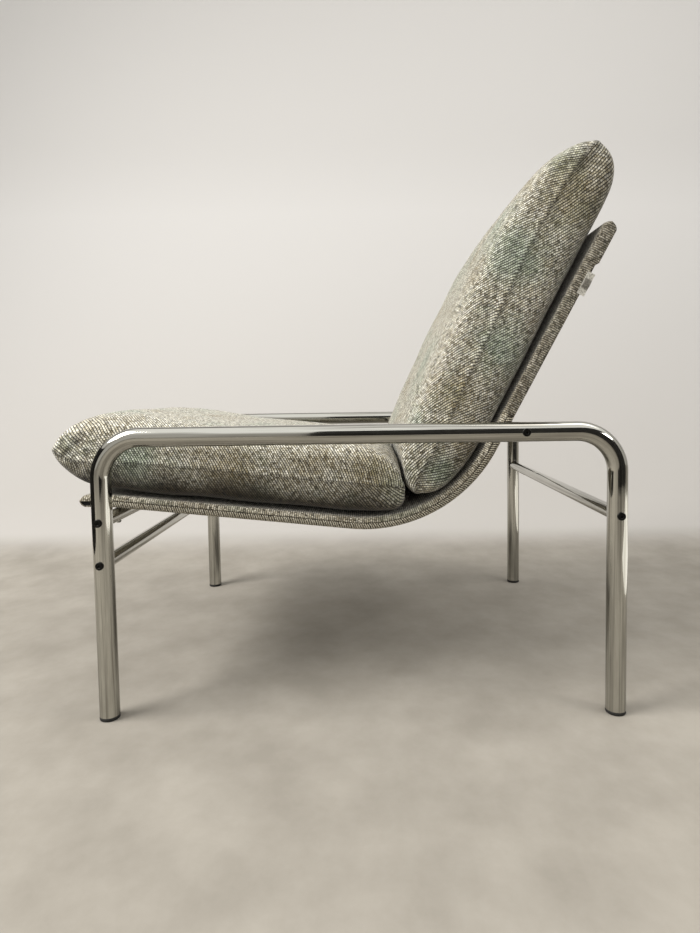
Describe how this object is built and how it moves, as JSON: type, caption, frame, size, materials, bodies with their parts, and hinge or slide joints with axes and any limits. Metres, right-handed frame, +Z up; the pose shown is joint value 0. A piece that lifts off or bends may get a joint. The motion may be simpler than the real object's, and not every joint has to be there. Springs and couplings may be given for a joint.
{
  "type": "lounge chair",
  "caption": "Low lounge chair: bent chromed steel tube sides with armrests, cross tubes, a fabric sling on an inner frame, and loose tweed seat and back cushions.",
  "frame": {"origin": "on the floor under the centre of the chair's box", "axes": "+Z up; the sitter faces -Y; +X is the sitter's left"},
  "size_m": [0.6332, 0.8436, 0.8334],
  "materials": {
    "chrome": "bright chrome plating on drawn steel tube",
    "black_steel": "blackened socket bolts, satin",
    "rubber": "moulded, matt",
    "zinc_steel": "zinc plated, dull",
    "sling_cloth": "dense woven cloth, grey beige",
    "pad": "felted wadding",
    "tweed": "coarse tweed with grey green and ochre slubs",
    "tab": "woven tape, blank"
  },
  "bodies": {
    "frame": {"side_frame_left": "chrome", "glide_front_left": "rubber", "glide_rear_left": "rubber", "bolt_front_upper_left": "black_steel", "insert_front_upper_left": "zinc_steel", "bolt_front_lower_left": "black_steel", "insert_front_lower_left": "zinc_steel", "bolt_rear_left": "black_steel", "insert_rear_left": "zinc_steel", "bolt_back_support_left": "black_steel", "insert_back_support_left": "zinc_steel", "seat_rail_left": "zinc_steel", "front_rail_plug_left": "rubber", "side_frame_right": "chrome", "glide_front_right": "rubber", "glide_rear_right": "rubber", "bolt_front_upper_right": "black_steel", "insert_front_upper_right": "zinc_steel", "bolt_front_lower_right": "black_steel", "insert_front_lower_right": "zinc_steel", "bolt_rear_right": "black_steel", "insert_rear_right": "zinc_steel", "bolt_back_support_right": "black_steel", "insert_back_support_right": "zinc_steel", "seat_rail_right": "zinc_steel", "front_rail_plug_right": "rubber", "cross_tube_front_upper": "chrome", "cross_tube_front_lower": "chrome", "cross_tube_rear": "chrome", "cross_tube_back_support": "chrome", "seat_screw_front_left": "zinc_steel", "seat_screw_back_left": "zinc_steel", "seat_screw_front_right": "zinc_steel", "seat_screw_back_right": "zinc_steel", "seat_front_rail": "zinc_steel", "seat_top_rail": "zinc_steel", "sling_cover": "sling_cloth", "sling_pad": "pad", "sling_tab": "tab"},
    "seat_pad": {"seat_cushion": "tweed"},
    "back_pad": {"back_cushion": "tweed"}
  },
  "joints": [
    {"name": "seat_cushion_lift", "type": "slide", "parent": "frame", "child": "seat_pad", "axis": [0, -0.5, 0.866], "range_m": [0, 0.3]},
    {"name": "back_cushion_lift", "type": "slide", "parent": "frame", "child": "back_pad", "axis": [0, 0, 1], "range_m": [0, 0.45]}
  ]
}
